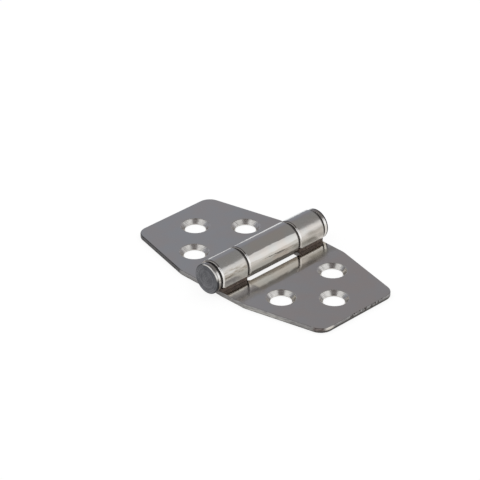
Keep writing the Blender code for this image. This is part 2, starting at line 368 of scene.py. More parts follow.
def product(tree, *values):
    """Several values multiplied."""
    total = values[0]
    for value in values[1:]:
        total = compute(tree, "MULTIPLY", total, value)
    return total


def zone(tree, value, entry, leaving):
    """One between two places and nought past them. Each end is a pair of places to fade over."""
    return product(tree, fade(tree, value, *entry), fade(tree, value, *leaving))


def tinted(tree, amount, first, second):
    """Colour between two others. Each is a colour or another node's output."""
    inputs = {"Factor": amount}
    for name, colour in (("A", first), ("B", second)):
        inputs[name] = (*colour, 1) if isinstance(colour, tuple) else colour
    return put(tree, "Mix", inputs, data_type="RGBA").outputs["Result"]


def blotches(tree, place, size, low, high, detail=2.0, stretch=(1, 1, 1)):
    """Soft random value between low and high, whose patches are about size metres across."""
    scale = [1 / (size * ratio) for ratio in stretch]
    spread = put(tree, "Mapping", {"Vector": place, "Scale": scale}, vector_type="POINT")
    cloud = put(tree, "TexNoise", {"Vector": spread.outputs[0], "Scale": 1.0, "Detail": detail})
    return fade(tree, cloud.outputs["Fac"], 0.3, 0.7, low, high)


def relief(tree, height, depth, below=None):
    """Bump of the given depth in metres, laid over another one where there is one."""
    inputs = {"Height": height, "Distance": depth, "Strength": 1.0}
    if below is not None:
        inputs["Normal"] = below
    return put(tree, "Bump", inputs).outputs["Normal"]


def metal(name, roughness):
    """New metal material, with its tree, its shader and the object's own coordinates."""
    material = bpy.data.materials.new(name)
    material.use_nodes = True
    tree = material.node_tree
    shader = tree.nodes["Principled BSDF"]
    shader.inputs["Metallic"].default_value = 1.0
    shader.inputs["Roughness"].default_value = roughness
    place = put(tree, "TexCoord", {}).outputs["Object"]
    return material, tree, shader, place


def on_blank(tree):
    """Place of a point on the flat blank: X from the pin outward, Y along the pin, Z up."""
    return put(tree, "Attribute", {}, attribute_name="blank").outputs["Vector"]


def parts(tree, place):
    """The X, Y and Z of a place or a direction."""
    return put(tree, "SeparateXYZ", {"Vector": place}).outputs


STEEL = (0.627, 0.571, 0.513)
STEEL_COOL = (0.600, 0.582, 0.541)
# Painted shade on the outside of each knuckle's start.
STEEL_KNUCKLE_SHADE = (0.42, 0.385, 0.34)
STEEL_UNBUFFED = (0.36, 0.32, 0.265)
STEEL_SCUFFED = (0.40, 0.37, 0.33)
STEEL_SCRATCHED = (0.22, 0.20, 0.175)
# Painted shade in the corner between leaf and outer knuckles, darker on the near side.
STEEL_ROOT_SHADE_NEAR = (0.33, 0.31, 0.305)
STEEL_ROOT_SHADE_FAR = (0.50, 0.475, 0.42)
# Grey specular tint that darkens grazing reflection on the knuckle's start: painted shade.
GRAZING_SHADE = (0.25, 0.25, 0.25, 1)

NEAR_SCUFFS_X = ((-0.0170, -0.0180), (-0.0197, -0.0191))
NEAR_SCUFFS_Y = ((-0.0204, -0.0197), (-0.0107, -0.0114))
FAR_SCUFFS_X = ((-0.0175, -0.0184), (-0.0214, -0.0206))
FAR_SCUFFS_Y = (0.0118, 0.0150)
SCRATCH_X = ((-0.0066, -0.0070), (-0.0076, -0.0073))
SCRATCH_Y = (-0.0030, 0.0020)
MIDDLE_KNUCKLE_END = (0.0102, 0.0098)


def marked_knuckles(tree, clean):
    """Marks that the wheel left on the rolled knuckles: scuffs on the outer ones, one scratch."""
    blank = on_blank(tree)
    x = parts(tree, blank)["X"]
    y = parts(tree, blank)["Y"]
    scuffs = blotches(tree, blank, 0.00045, 0.1, 1.0, stretch=(1, 6, 1))
    near = product(tree, zone(tree, y, *NEAR_SCUFFS_Y), zone(tree, x, *NEAR_SCUFFS_X), scuffs)
    clean = tinted(tree, near, clean, STEEL_UNBUFFED)
    scuffs = blotches(tree, blank, 0.0009, 0.4, 1.0, stretch=(1, 5, 1))
    far = product(tree, fade(tree, y, *FAR_SCUFFS_Y), zone(tree, x, *FAR_SCUFFS_X), scuffs)
    clean = tinted(tree, far, clean, STEEL_SCUFFED)
    on_middle = fade(tree, compute(tree, "ABSOLUTE", y), *MIDDLE_KNUCKLE_END)
    lines = blotches(tree, blank, 0.0003, 0.0, 1.0, stretch=(1, 12, 1))
    scratch = product(
        tree, on_middle, fade(tree, y, *SCRATCH_Y), zone(tree, x, *SCRATCH_X), lines
    )
    return tinted(tree, scratch, clean, STEEL_SCRATCHED)


ROOT_SIDES = (-0.01, 0.01)
ROOT_EDGE = (0.0104, 0.0116)
ROOT_TOP_Z = 0.001
ROOT_WANDER = 0.0004
ROOT_START_NEAR = 0.0064
ROOT_START_FAR = 0.0076
ROOT_FULL = 0.0082
ROOT_SHADE_END = (0.0112, 0.0094)
ROOT_HAZE_END = (0.0150, 0.0110)
ROOT_HAZE = 0.11


def shaded_hazy_root(tree, place, clean):
    """Colour and added roughness in the corner between leaf and outer knuckles.

    It is darkened there as painted shade, most on the near side, and is a little hazy where the
    wheel doesn't reach.
    """
    apart = parts(tree, on_blank(tree))
    y = apart["Y"]
    wander = blotches(tree, place, 0.0022, -ROOT_WANDER, ROOT_WANDER, detail=3.0)
    reach = compute(tree, "ADD", apart["X"], wander)
    on_top = compute(tree, "GREATER_THAN", apart["Z"], ROOT_TOP_Z)
    beside = fade(tree, compute(tree, "ABSOLUTE", y), *ROOT_EDGE)
    root_start = fade(tree, y, *ROOT_SIDES, ROOT_START_NEAR, ROOT_START_FAR)
    root = product(tree, beside, on_top, fade(tree, reach, root_start, ROOT_FULL))
    shade = product(tree, root, fade(tree, reach, *ROOT_SHADE_END))
    near_side = fade(tree, y, *NEAR_SCUFFS_Y[1])
    root_shade_colour = tinted(tree, near_side, STEEL_ROOT_SHADE_FAR, STEEL_ROOT_SHADE_NEAR)
    haze = product(tree, root, fade(tree, reach, *ROOT_HAZE_END, 0.0, ROOT_HAZE))
    return tinted(tree, shade, clean, root_shade_colour), haze


FLAT_FROM = 0.0005
KNUCKLE_SHADE_DULL = 0.16
OUTER_DULL = 0.13
OUTER_DULL_X = (-0.0125, -0.0145)
OUTER_DULL_Y = (0.0104, 0.0108)
ROLLED_FROM = (0.001, -0.002)
FLAT_RIPPLE = 0.12
RIPPLE_DEPTH = 0.00002
STREAK_DEPTH = 0.000005
BUFFING_DEPTH = 0.0000003


def polished_sheet(name, steel=STEEL, cool=STEEL_COOL, hazy=False):
    """Mirror finish with the faint ripple of rolling and buffing lines, painted shade on each
    knuckle's start and, when hazy, painted shade and haze by the outer knuckles.
    """
    material, tree, shader, place = metal(name, 0.08)
    blank = on_blank(tree)
    x = parts(tree, blank)["X"]
    y = parts(tree, blank)["Y"]
    patches = blotches(tree, place, 0.006, 0.0, 1.0)
    clean = marked_knuckles(tree, tinted(tree, patches, steel, cool))
    haze = 0.0
    # Painted shade and added haze in the corner by the outer knuckles.
    if hazy:
        clean, haze = shaded_hazy_root(tree, place, clean)
    # Painted shade: each knuckle's start takes the darker steel.
    past_root = fade(tree, x, KNUCKLE_SHADE_MIDDLE, KNUCKLE_SHADE_TO)
    bright = compute(tree, "MAXIMUM", past_root, compute(tree, "GREATER_THAN", x, FLAT_FROM))
    tree.links.new(tinted(tree, bright, STEEL_KNUCKLE_SHADE, clean), shader.inputs["Base Color"])
    smudges = blotches(tree, place, 0.004, 0.06, 0.11, detail=3.0)
    on_outer = fade(tree, compute(tree, "ABSOLUTE", y), *OUTER_DULL_Y)
    rubbed = product(tree, on_outer, fade(tree, x, *OUTER_DULL_X), OUTER_DULL)
    dulled = compute(tree, "ADD", fade(tree, bright, 0.0, 1.0, KNUCKLE_SHADE_DULL, 0.0), rubbed)
    dulled = compute(tree, "ADD", dulled, haze)
    tree.links.new(compute(tree, "ADD", smudges, dulled), shader.inputs["Roughness"])
    rolled_part = fade(tree, x, *ROLLED_FROM, FLAT_RIPPLE, 1.0)
    ripple = blotches(tree, blank, 0.0016, 0.0, 1.0, detail=1.0, stretch=(1, 2.5, 1))
    waves = relief(tree, product(tree, ripple, rolled_part), RIPPLE_DEPTH)
    streaks = blotches(tree, blank, 0.00045, 0.0, 1.0, stretch=(1, 14, 1))
    waves = relief(tree, product(tree, streaks, rolled_part), STREAK_DEPTH, waves)
    lines = blotches(tree, blank, 0.00012, 0.0, 1.0, detail=1.0, stretch=(1, 40, 1))
    tree.links.new(relief(tree, lines, BUFFING_DEPTH, waves), shader.inputs["Normal"])
    return material


EDGE_RUBBED_DARK = (0.31, 0.299, 0.287)
EDGE_RUBBED_LIGHT = (0.47, 0.455, 0.43)
EDGE_RUBBED_X = ((0.0118, 0.0140), (0.0280, 0.0245))
EDGE_RUBBED_Z = (0.0015, 0.0006)
EDGE_RUBBED_LEAST = 0.2
CORNER_PATCHES_AT = (0.0365, -0.0146, 0.0008)
CORNER_PATCHES_REACH = (0.0024, 0.0012)
CORNER_PATCHES_DARK = (0.10, 0.082, 0.078)
CORNER_PATCHES_LIGHT = (0.24, 0.205, 0.19)
# Painted glint on the edge just past its near corner.
GLINT_AT = (0.0380, -0.0118, 0.0008)
GLINT_REACH = (0.0022, 0.0007)
GLINT = (0.66, 0.62, 0.56)
TIP_X = (0.0340, 0.0370)
# Painted shade along the foot of the tip, next to the table.
TIP_FOOT_Z = (0.0009, 0.0006)
TIP_FOOT_SHADE = (0.085, 0.080, 0.075)
CHIPS_Y = ((-0.0080, -0.0050), (0.0110, 0.0080))
CHIPS_FROM = (0.60, 0.80)
CHIPPED = (0.075, 0.065, 0.060)


def away_from(tree, place, spot):
    """Distance of a point from a spot on the hinge."""
    return put(tree, "VectorMath", {0: place, 1: spot}, operation="DISTANCE").outputs["Value"]


def rubbed_edge(tree, place, streaks, colour):
    """Edge rubbed light along its middle, darker in patches at its near corner with a painted glint
    past it, painted shade at the foot of its tip, and chipped along its tip.
    """
    apart = parts(tree, on_blank(tree))
    rubbed_up = fade(tree, apart["Z"], *EDGE_RUBBED_Z, EDGE_RUBBED_LEAST, 1.0)
    rubbed = product(tree, rubbed_up, zone(tree, apart["X"], *EDGE_RUBBED_X))
    light = tinted(tree, streaks, EDGE_RUBBED_DARK, EDGE_RUBBED_LIGHT)
    colour = tinted(tree, rubbed, colour, light)
    spots = blotches(tree, place, 0.0007, 0.0, 1.0)
    corner_patches = tinted(tree, spots, CORNER_PATCHES_DARK, CORNER_PATCHES_LIGHT)
    at_corner = fade(tree, away_from(tree, place, CORNER_PATCHES_AT), *CORNER_PATCHES_REACH)
    colour = tinted(tree, at_corner, colour, corner_patches)
    # Painted glint past the corner.
    painted_glint = fade(tree, away_from(tree, place, GLINT_AT), *GLINT_REACH)
    colour = tinted(tree, painted_glint, colour, GLINT)
    # Painted shade at the foot of the tip.
    tip = fade(tree, apart["X"], *TIP_X)
    foot = product(tree, tip, fade(tree, apart["Z"], *TIP_FOOT_Z))
    colour = tinted(tree, foot, colour, TIP_FOOT_SHADE)
    chips = fade(tree, spots, *CHIPS_FROM)
    chips = product(tree, chips, zone(tree, apart["Y"], *CHIPS_Y), tip)
    return tinted(tree, chips, colour, CHIPPED)


EDGE_NEAR_PIN = (0.27, 0.26, 0.255)
EDGE_NEAR_PIN_FADE = 0.0015
PIT_DEPTH = 0.00002


def tumbled_edge(name, clean, dark, roughness, rubbed=False, lighter_to=None):
    """Dull punched edge, stoned smooth in the tumbler, with darker patches in its hollows.

    It may be rubbed light in places, with a painted glint and painted shade at its tip, or be
    lighter than elsewhere up to a distance from the pin.
    """
    material, tree, shader, place = metal(name, roughness)
    streaks = blotches(tree, place, 0.0016, 0.0, 1.0, detail=3.0, stretch=(1, 1, 0.25))
    colour = tinted(tree, streaks, dark, clean)
    if rubbed:
        colour = rubbed_edge(tree, place, streaks, colour)
    if lighter_to is not None:
        x = parts(tree, on_blank(tree))["X"]
        near_pin = fade(tree, x, lighter_to, lighter_to - EDGE_NEAR_PIN_FADE)
        colour = tinted(tree, near_pin, colour, EDGE_NEAR_PIN)
    tree.links.new(colour, shader.inputs["Base Color"])
    pits = blotches(tree, place, 0.0003, 0.0, 1.0, detail=3.0)
    tree.links.new(relief(tree, pits, PIT_DEPTH), shader.inputs["Normal"])
    rough = blotches(tree, place, 0.001, roughness - 0.06, roughness + 0.06)
    tree.links.new(rough, shader.inputs["Roughness"])
    return material


TURNING_PITCH = 0.00034
TURNING_DEPTH = 0.000004
CONE_GRAIN_DEPTH = 0.0000015
CONE_DARK = (0.58, 0.55, 0.505)
CONE_LIGHT = (0.72, 0.685, 0.635)


def countersink_cone(name, roughness):
    """Cone cut by a countersink, with the rings that its edge left and a finer grain between."""
    material, tree, shader, place = metal(name, roughness)
    blank = on_blank(tree)
    worn = blotches(tree, place, 0.0012, 0.0, 1.0)
    tree.links.new(tinted(tree, worn, CONE_DARK, CONE_LIGHT), shader.inputs["Base Color"])
    turns = product(tree, parts(tree, blank)["Z"], 2 * math.pi / TURNING_PITCH)
    cut = relief(tree, compute(tree, "SINE", turns), TURNING_DEPTH)
    grain = blotches(tree, blank, 0.00006, 0.0, 1.0, stretch=(12, 12, 1))
    tree.links.new(relief(tree, grain, CONE_GRAIN_DEPTH, cut), shader.inputs["Normal"])
    return material


SHEARED_DARK = (0.30, 0.235, 0.19)
SHEARED_LIGHT = (0.42, 0.35, 0.30)
TORN_DEPTH = 0.00002


def sheared_end():
    """Cut end of a tongue: torn, matt and brown with what the buffing left in it."""
    material, tree, shader, place = metal("sheared tongue end", 0.55)
    shader.inputs["Metallic"].default_value = 0.2
    torn = blotches(tree, place, 0.0006, 0.0, 1.0, detail=3.0, stretch=(1, 0.4, 1))
    tree.links.new(tinted(tree, torn, SHEARED_DARK, SHEARED_LIGHT), shader.inputs["Base Color"])
    tree.links.new(relief(tree, torn, TORN_DEPTH), shader.inputs["Normal"])
    return material


GREY_EDGE = ((0.32, 0.31, 0.30), (0.21, 0.20, 0.197))
# Painted shade: the rounding under each edge and hole is near-black steel.
UNDERSIDE_SHADE = ((0.075, 0.068, 0.062), (0.040, 0.036, 0.033))
# Painted highlight on the near side of the knuckles' edges.
KNUCKLE_EDGE_HIGHLIGHT_STEEL = ((0.80, 0.765, 0.715), (0.78, 0.755, 0.715))
# Painted shade on the knuckles' edges beside the seams.
KNUCKLE_EDGE_SHADE_STEEL = ((0.30, 0.27, 0.24), (0.26, 0.24, 0.22))

polished = polished_sheet("polished sheet")
# The right leaf's sheet carries painted shade in the corner by its knuckles.
polished_shaded_hazy = polished_sheet("polished sheet, shaded and hazy at the knuckles", hazy=True)
# Outside of each knuckle's start: darker steel and darkened grazing reflection, as painted shade.
knuckle_shade = polished_sheet("knuckle root, painted shade")
knuckle_shade.node_tree.nodes["Principled BSDF"].inputs["Specular Tint"].default_value = GRAZING_SHADE
light_edge = tumbled_edge("light tumbled edge", *GREY_EDGE, 0.34, rubbed=True)
cone = countersink_cone("countersink cone", 0.22)
shaded_under_edge = tumbled_edge("underside edge, painted shade", *UNDERSIDE_SHADE, 0.4)
sheared = sheared_end()
# Knuckle edges with a painted highlight on their near side.
painted_highlight = polished_sheet("knuckle edge, painted highlight", *KNUCKLE_EDGE_HIGHLIGHT_STEEL)
# Knuckle edges beside the seams, darkened as painted shade.
worn = polished_sheet("knuckle edge, painted shade", *KNUCKLE_EDGE_SHADE_STEEL)

outer_leaf = rolled_leaf("outer_knuckle_leaf", 1, OUTER_TONGUES, OUTER_STRAIGHT_DEG, OUTER_HIGHLIGHT)
for finish in (polished_shaded_hazy, light_edge, cone, shaded_under_edge, knuckle_shade, sheared, painted_highlight, worn):
    outer_leaf.data.materials.append(finish)
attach(outer_leaf, "fixed_leaf")
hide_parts("leaf_with_outer_knuckles")


# Leaf with the middle knuckle, on the left.
# The same sheet and the same punched holes, but one long tongue in the middle of the blank, which
# is rolled up round the pin between the other leaf's knuckles.
MIDDLE_TONGUES = [(-0.0101, 0.0101)]
MIDDLE_STRAIGHT_DEG = 16.0
# Stretch of the tongue's near edge that gets a painted highlight.
MIDDLE_HIGHLIGHT = (-0.0108, 0.0)
# Painted shade: the left leaf's edges are far darker than the right leaf's, and lighter near the
# pin.
EDGE_SHADE_GREYS = ((0.095, 0.090, 0.090), (0.060, 0.056, 0.058))
EDGE_SHADE_FROM = 0.0140

shaded_edge = tumbled_edge("tumbled edge, painted shade", *EDGE_SHADE_GREYS, 0.34, lighter_to=EDGE_SHADE_FROM)
dull_cone = countersink_cone("dull countersink cone", 0.28)

middle_leaf = rolled_leaf(
    "middle_knuckle_leaf", -1, MIDDLE_TONGUES, MIDDLE_STRAIGHT_DEG, MIDDLE_HIGHLIGHT
)
for finish in (polished, shaded_edge, dull_cone, shaded_under_edge, knuckle_shade, sheared, painted_highlight, worn):
    middle_leaf.data.materials.append(finish)
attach(middle_leaf, "swinging_leaf")
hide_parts("leaf_with_middle_knuckle")


# End caps, one on each end of the pin.
# Each is turned from bar, with a shallow ring in its face, a fine groove round its side and a small
# undercut behind. Its stem, pressed into the drilled pin, is not drawn. The tool's marks stay on it.
CAP_R = 0.0046
CAP_OUT = 0.02255
CAP_IN = 0.02095
CAP_RIM_R = 0.0003
RIM_BENDS = 6
FACE_RINGS = [0.0008, 0.0016, 0.0024, 0.0031]
GROOVE_R = 0.00385
GROOVE_HALF_W = 0.00016
GROOVE_DEPTH = 0.00007
GROOVE_PROFILE = [(-1, 65), (-0.4, 65), (0.4, 115), (1, 115)]
STEP_AT = 0.0005
STEP_HALF_W = 0.00008
UNDERCUT_L = 0.00028
UNDERCUT_DEPTH = 0.00035
STEM_R = 0.0012
CAP_STEPS = 128
WALL, RIM, FACE, RECESS_SHADE = range(4)


def cap_section():
    """Radius, place along the pin, tilt and finish of the cap from the face's middle to its back."""
    rings = FACE_RINGS + [GROOVE_R - 2 * GROOVE_HALF_W]
    section = [(radius, CAP_OUT, 90, FACE) for radius in rings]
    for ratio, tilt in GROOVE_PROFILE:
        depth = GROOVE_DEPTH if abs(ratio) < 1 else 0.0
        section.append((GROOVE_R + ratio * GROOVE_HALF_W, CAP_OUT - depth, tilt, FACE))
    section.append((GROOVE_R + 1.6 * GROOVE_HALF_W, CAP_OUT, 90, FACE))
    for k in range(RIM_BENDS + 1):
        tilt = 90 - 90 * k / RIM_BENDS
        radius = CAP_R - CAP_RIM_R * (1 - math.cos(math.radians(tilt)))
        along = CAP_OUT - CAP_RIM_R * (1 - math.sin(math.radians(tilt)))
        section.append((radius, along, tilt, RIM))
    step = CAP_OUT - STEP_AT
    undercut = CAP_IN + UNDERCUT_L
    # Painted shade in the step round the side and in the undercut.
    section.append((CAP_R, step + STEP_HALF_W, 0, RECESS_SHADE))
    section.append((CAP_R - STEP_HALF_W, step, 0, RECESS_SHADE))
    section.append((CAP_R, step - STEP_HALF_W, 0, WALL))
    section.append((CAP_R, undercut, 0, WALL))
    section.append((CAP_R - STEP_HALF_W, undercut - STEP_HALF_W, -60, RECESS_SHADE))
    section.append((CAP_R - UNDERCUT_DEPTH, undercut - STEP_HALF_W, -45, RECESS_SHADE))
    section.append((CAP_R - UNDERCUT_DEPTH, CAP_IN, -45, RECESS_SHADE))
    section.append((STEM_R, CAP_IN, -90, FACE))
    return section


def turned_cap(name, end):
    """Cap turned about the pin's axis, closed by a fan at the middle of its face and its back."""
    section = cap_section()
    points = [(0, end * CAP_OUT, BARREL_R)]
    facing = [(0, end, 0)]
    for radius, along, tilt, finish in section:
        out = math.cos(math.radians(tilt))
        lift = end * math.sin(math.radians(tilt))
        for k in range(CAP_STEPS):
            a = 2 * math.pi * k / CAP_STEPS
            points.append((radius * math.cos(a), end * along, BARREL_R + radius * math.sin(a)))
            facing.append((math.cos(a) * out, lift, math.sin(a) * out))
    points.append((0, end * CAP_IN, BARREL_R))
    facing.append((0, -end, 0))
    faces = []
    finishes = []
    last = 1 + (len(section) - 1) * CAP_STEPS
    for k in range(CAP_STEPS):
        j = (k + 1) % CAP_STEPS
        faces.append((0, 1 + j, 1 + k))
        faces.append((len(points) - 1, last + k, last + j))
        finishes += [FACE, FACE]
        for row in range(len(section) - 1):
            inner = 1 + row * CAP_STEPS
            outer = inner + CAP_STEPS
            faces.append((inner + k, inner + j, outer + j, outer + k))
            finishes.append(section[row][3])
    if end < 0:
        faces = [tuple(reversed(face)) for face in faces]
    mesh = bpy.data.meshes.new(name)
    mesh.from_pydata(points, [], faces)
    mesh.shade_smooth()
    mesh.normals_split_custom_set_from_vertices(facing)
    mesh.polygons.foreach_set("material_index", finishes)
    cap = bpy.data.objects.new(name, mesh)
    bpy.context.scene.collection.objects.link(cap)
    return cap


CAP_UNSHADED = (0.74, 0.71, 0.66)
CAP_LINE_DEPTH = 0.0000015


def shaded_cap_steel(name, dull, bright_x, bright_z):
    """Turned steel, bright in one place and darkened elsewhere as painted shade.

    Each range is a pair of places across the cap, or of heights, over which it turns bright.
    """
    material, tree, shader, place = metal(name, 0.2)
    apart = parts(tree, place)
    spots = blotches(tree, place, 0.0012, 0.8, 1.0, detail=3.0)
    beside = fade(tree, apart["X"], *bright_x)
    # Bright where unshaded; elsewhere the painted shade colour.
    clean = product(tree, beside, fade(tree, apart["Z"], *bright_z), spots)
    tree.links.new(tinted(tree, clean, dull, CAP_UNSHADED), shader.inputs["Base Color"])
    lines = blotches(tree, place, 0.00008, 0.0, 1.0, stretch=(12, 1, 12))
    tree.links.new(relief(tree, lines, CAP_LINE_DEPTH), shader.inputs["Normal"])
    return material


FACE_DARK = (0.065, 0.066, 0.073)
FACE_LIGHT = (0.215, 0.215, 0.226)
FACE_SHADED_Z = (0.0055, 0.0080)
FACE_SHADED = 0.55
RING_SHARE = 0.6
RING_DEPTH = 0.000006


def cap_face():
    """Turned face: rings of the tool round the middle, cloudy grey patches between them, and painted
    shade towards the top.
    """
    material, tree, shader, place = metal("turned cap face", 0.3)
    apart = parts(tree, place)
    over = compute(tree, "SUBTRACT", apart["Z"], BARREL_R)
    flat = put(tree, "CombineXYZ", {"X": apart["X"], "Z": over}).outputs[0]
    radius = put(tree, "VectorMath", {0: flat}, operation="LENGTH").outputs["Value"]
    along = put(tree, "CombineXYZ", {"X": radius}).outputs[0]
    rings = blotches(tree, along, 0.00030, 0.0, 1.0)
    clouds = blotches(tree, place, 0.0022, 0.0, 1.0)
    ringed = product(tree, rings, RING_SHARE)
    mixed = compute(tree, "ADD", ringed, product(tree, clouds, 1 - RING_SHARE))
    shaded = fade(tree, apart["Z"], *FACE_SHADED_Z, 1.0, FACE_SHADED)
    colour = tinted(tree, product(tree, mixed, shaded), FACE_DARK, FACE_LIGHT)
    tree.links.new(colour, shader.inputs["Base Color"])
    tree.links.new(relief(tree, rings, RING_DEPTH), shader.inputs["Normal"])
    tree.links.new(blotches(tree, place, 0.001, 0.24, 0.36), shader.inputs["Roughness"])
    return material


# Painted shade on the caps: walls darker low down, rims dark but for a bright patch on the near one,
# groove and undercut dark.
WALL_SHADE = (0.42, 0.385, 0.35)
RIM_SHADE = (0.055, 0.055, 0.058)
GROOVE_SHADE = (0.070, 0.064, 0.060)
PAST_CAP_X = (0.008, 0.009)
OVER_TABLE_Z = (0.0, 0.001)

wall_finish = shaded_cap_steel("cap wall", WALL_SHADE, (0.0026, 0.0040), (0.0016, 0.0032))
near_rim = shaded_cap_steel("near cap rim", RIM_SHADE, (-0.0022, -0.0006), (0.0056, 0.0072))
far_rim = shaded_cap_steel("far cap rim", RIM_SHADE, PAST_CAP_X, OVER_TABLE_Z)
face_finish = cap_face()
groove_shade = shaded_cap_steel("cap groove and undercut, painted shade", GROOVE_SHADE, PAST_CAP_X, OVER_TABLE_Z)
for place, end, rim_finish in (("near", -1, near_rim), ("far", 1, far_rim)):
    cap = turned_cap("turned_cap_" + place, end)
    for finish in (wall_finish, rim_finish, face_finish, groove_shade):
        cap.data.materials.append(finish)
    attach(cap, "fixed_leaf")
    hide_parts("end_cap_" + place)


# Washers and knuckle liners.
# Two black low-friction washers in the seams, two behind the caps, and a dark brown moulded liner
# in each outer knuckle, which keys the pin to that leaf and shows in the knuckle's open seam.
WASHER_BLACK = ((0.018, 0.015, 0.013), (0.036, 0.030, 0.026))
LINER_BROWN = ((0.066, 0.043, 0.033), (0.115, 0.082, 0.063))
SPARK_DEPTH = 0.000008


def moulded(name, colour, worn, roughness):
    """Moulded polymer with a fine spark-eroded grain, rubbed lighter where it is touched."""
    material, tree, shader, place = metal(name, roughness)
    shader.inputs["Metallic"].default_value = 0.0
    rubbed = blotches(tree, place, 0.0015, 0.0, 1.0, detail=3.0)
    tree.links.new(tinted(tree, rubbed, colour, worn), shader.inputs["Base Color"])
    grain = blotches(tree, place, 0.00007, 0.0, 1.0)
    tree.links.new(relief(tree, grain, SPARK_DEPTH), shader.inputs["Normal"])
    sheen = blotches(tree, place, 0.0008, roughness - 0.08, roughness + 0.08)
    tree.links.new(sheen, shader.inputs["Roughness"])
    return material


def finish_solids(starts, finish):
    """One finish for each solid of the model whose name starts in one of these ways."""
    for name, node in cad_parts.items():
        if name.startswith(starts):
            node.data.materials.clear()
            node.data.materials.append(finish)


washer_finish = moulded("black washer polymer", *WASHER_BLACK, 0.55)
liner_finish = moulded("brown liner polymer", *LINER_BROWN, 0.5)
finish_solids(("end_washer", "thrust_washer"), washer_finish)
finish_solids(("knuckle_liner",), liner_finish)


# Pin and friction clips.
# The pin is ground bar. Ten clips bent from tempered strip grip it inside the middle knuckle, and
# their tails sit in that knuckle's seam, so the left leaf drags them round the pin.
GROUND_STEEL = ((0.52, 0.51, 0.49), (0.40, 0.38, 0.36))
SPRING_STEEL = ((0.36, 0.34, 0.32), (0.22, 0.19, 0.17))
ROUND_THE_PIN = (25, 1, 25)
GROUND_DEPTH = 0.000002


def drawn_steel(name, colour, dark, roughness):
    """Ground or rolled steel, with fine lines round the pin and a thin film of oil."""
    material, tree, shader, place = metal(name, roughness)
    film = blotches(tree, place, 0.0025, 0.0, 1.0, detail=3.0)
    tree.links.new(tinted(tree, film, dark, colour), shader.inputs["Base Color"])
    lines = blotches(tree, place, 0.00006, 0.0, 1.0, stretch=ROUND_THE_PIN)
    tree.links.new(relief(tree, lines, GROUND_DEPTH), shader.inputs["Normal"])
    wiped = blotches(tree, place, 0.0012, roughness - 0.06, roughness + 0.08)
    tree.links.new(wiped, shader.inputs["Roughness"])
    return material


pin_finish = drawn_steel("ground pin", *GROUND_STEEL, 0.22)
clip_finish = drawn_steel("spring strip", *SPRING_STEEL, 0.3)
finish_solids(("hinge_pin",), pin_finish)
finish_solids(("friction_clip",), clip_finish)


# Table, a sheet of white paper.
# It is drawn mostly as its own white to the camera and to mirrors, and as plain paper to light
# that it scatters, so that the hinge still shades it. Mirrors see it dark far behind the hinge.
TABLE_HALF = 4.0
TABLE_Z = -0.0001
TABLE_SQUARES = 8
SHOT_DEG = 45.4505
ACROSS = Vector((math.cos(math.radians(SHOT_DEG)), math.sin(math.radians(SHOT_DEG)), 0))
AWAY = Vector((-math.sin(math.radians(SHOT_DEG)), math.cos(math.radians(SHOT_DEG)), 0))
PAPER_DARK = (0.84, 0.84, 0.84)
PAPER_LIGHT = (0.86, 0.86, 0.86)
PAPER_WHITE = (1.0, 1.0, 1.0)
PAPER_WHITE_BEHIND = (0.95, 1.0, 1.07)
PAPER_FAR = (0.20, 0.20, 0.205)
BEHIND_FROM = (0.02, 0.05)
FAR_FROM = (0.25, 0.45)
SEEN_SHARE = 0.82
MIRRORED_SHARE = 0.35
PAPER_STRENGTH = 1.05


def paper_mesh():
    """Level sheet of small squares."""
    steps = [TABLE_HALF * (2 * k / TABLE_SQUARES - 1) for k in range(TABLE_SQUARES + 1)]
    count = len(steps)
    points = [(x, y, TABLE_Z) for y in steps for x in steps]
    faces = []
    for row in range(TABLE_SQUARES):
        for column in range(TABLE_SQUARES):
            a = row * count + column
            faces.append((a, a + 1, a + count + 1, a + count))
    mesh = bpy.data.meshes.new("white_table")
    mesh.from_pydata(points, [], faces)
    return mesh


def toward(tree, place, direction):
    """How far a point lies along a direction."""
    inputs = {0: place, 1: direction}
    return put(tree, "VectorMath", inputs, operation="DOT_PRODUCT").outputs["Value"]


def emptied(name):
    """New material with an empty tree, and the object's own coordinates in it."""
    material = bpy.data.materials.new(name)
    material.use_nodes = True
    tree = material.node_tree
    tree.nodes.clear()
    return material, tree, put(tree, "TexCoord", {}).outputs["Object"]


def white_paper():
    """Matt white paper with a faint fibre, its own white to the camera, mirrors and glass."""
    material, tree, place = emptied("white paper")
    fibre = blotches(tree, place, 0.0004, 0.0, 1.0, detail=3.0)
    colour = tinted(tree, fibre, PAPER_DARK, PAPER_LIGHT)
    sheet = put(tree, "BsdfDiffuse", {"Color": colour}).outputs[0]
    ray = put(tree, "LightPath", {}).outputs
    away = toward(tree, place, AWAY)
    behind = product(tree, fade(tree, away, *BEHIND_FROM), ray["Is Glossy Ray"])
    white = tinted(tree, behind, PAPER_WHITE, PAPER_WHITE_BEHIND)
    far = product(tree, fade(tree, away, *FAR_FROM), ray["Is Glossy Ray"])
    white = tinted(tree, far, white, PAPER_FAR)
    glow = put(tree, "Emission", {"Color": white, "Strength": PAPER_STRENGTH}).outputs[0]
    seen = compute(tree, "MAXIMUM", ray["Is Camera Ray"], ray["Is Transmission Ray"])
    in_mirrors = fade(tree, behind, 0.0, 1.0, MIRRORED_SHARE, 1.0)
    mirrored = product(tree, ray["Is Glossy Ray"], in_mirrors)
    share = compute(tree, "MAXIMUM", product(tree, seen, SEEN_SHARE), mirrored)
    both = put(tree, "MixShader", {"Fac": share, 1: sheet, 2: glow}).outputs[0]
    put(tree, "OutputMaterial", {"Surface": both})
    return material


table = bpy.data.objects.new("white_table", paper_mesh())
bpy.context.scene.collection.objects.link(table)
table.data.materials.append(white_paper())


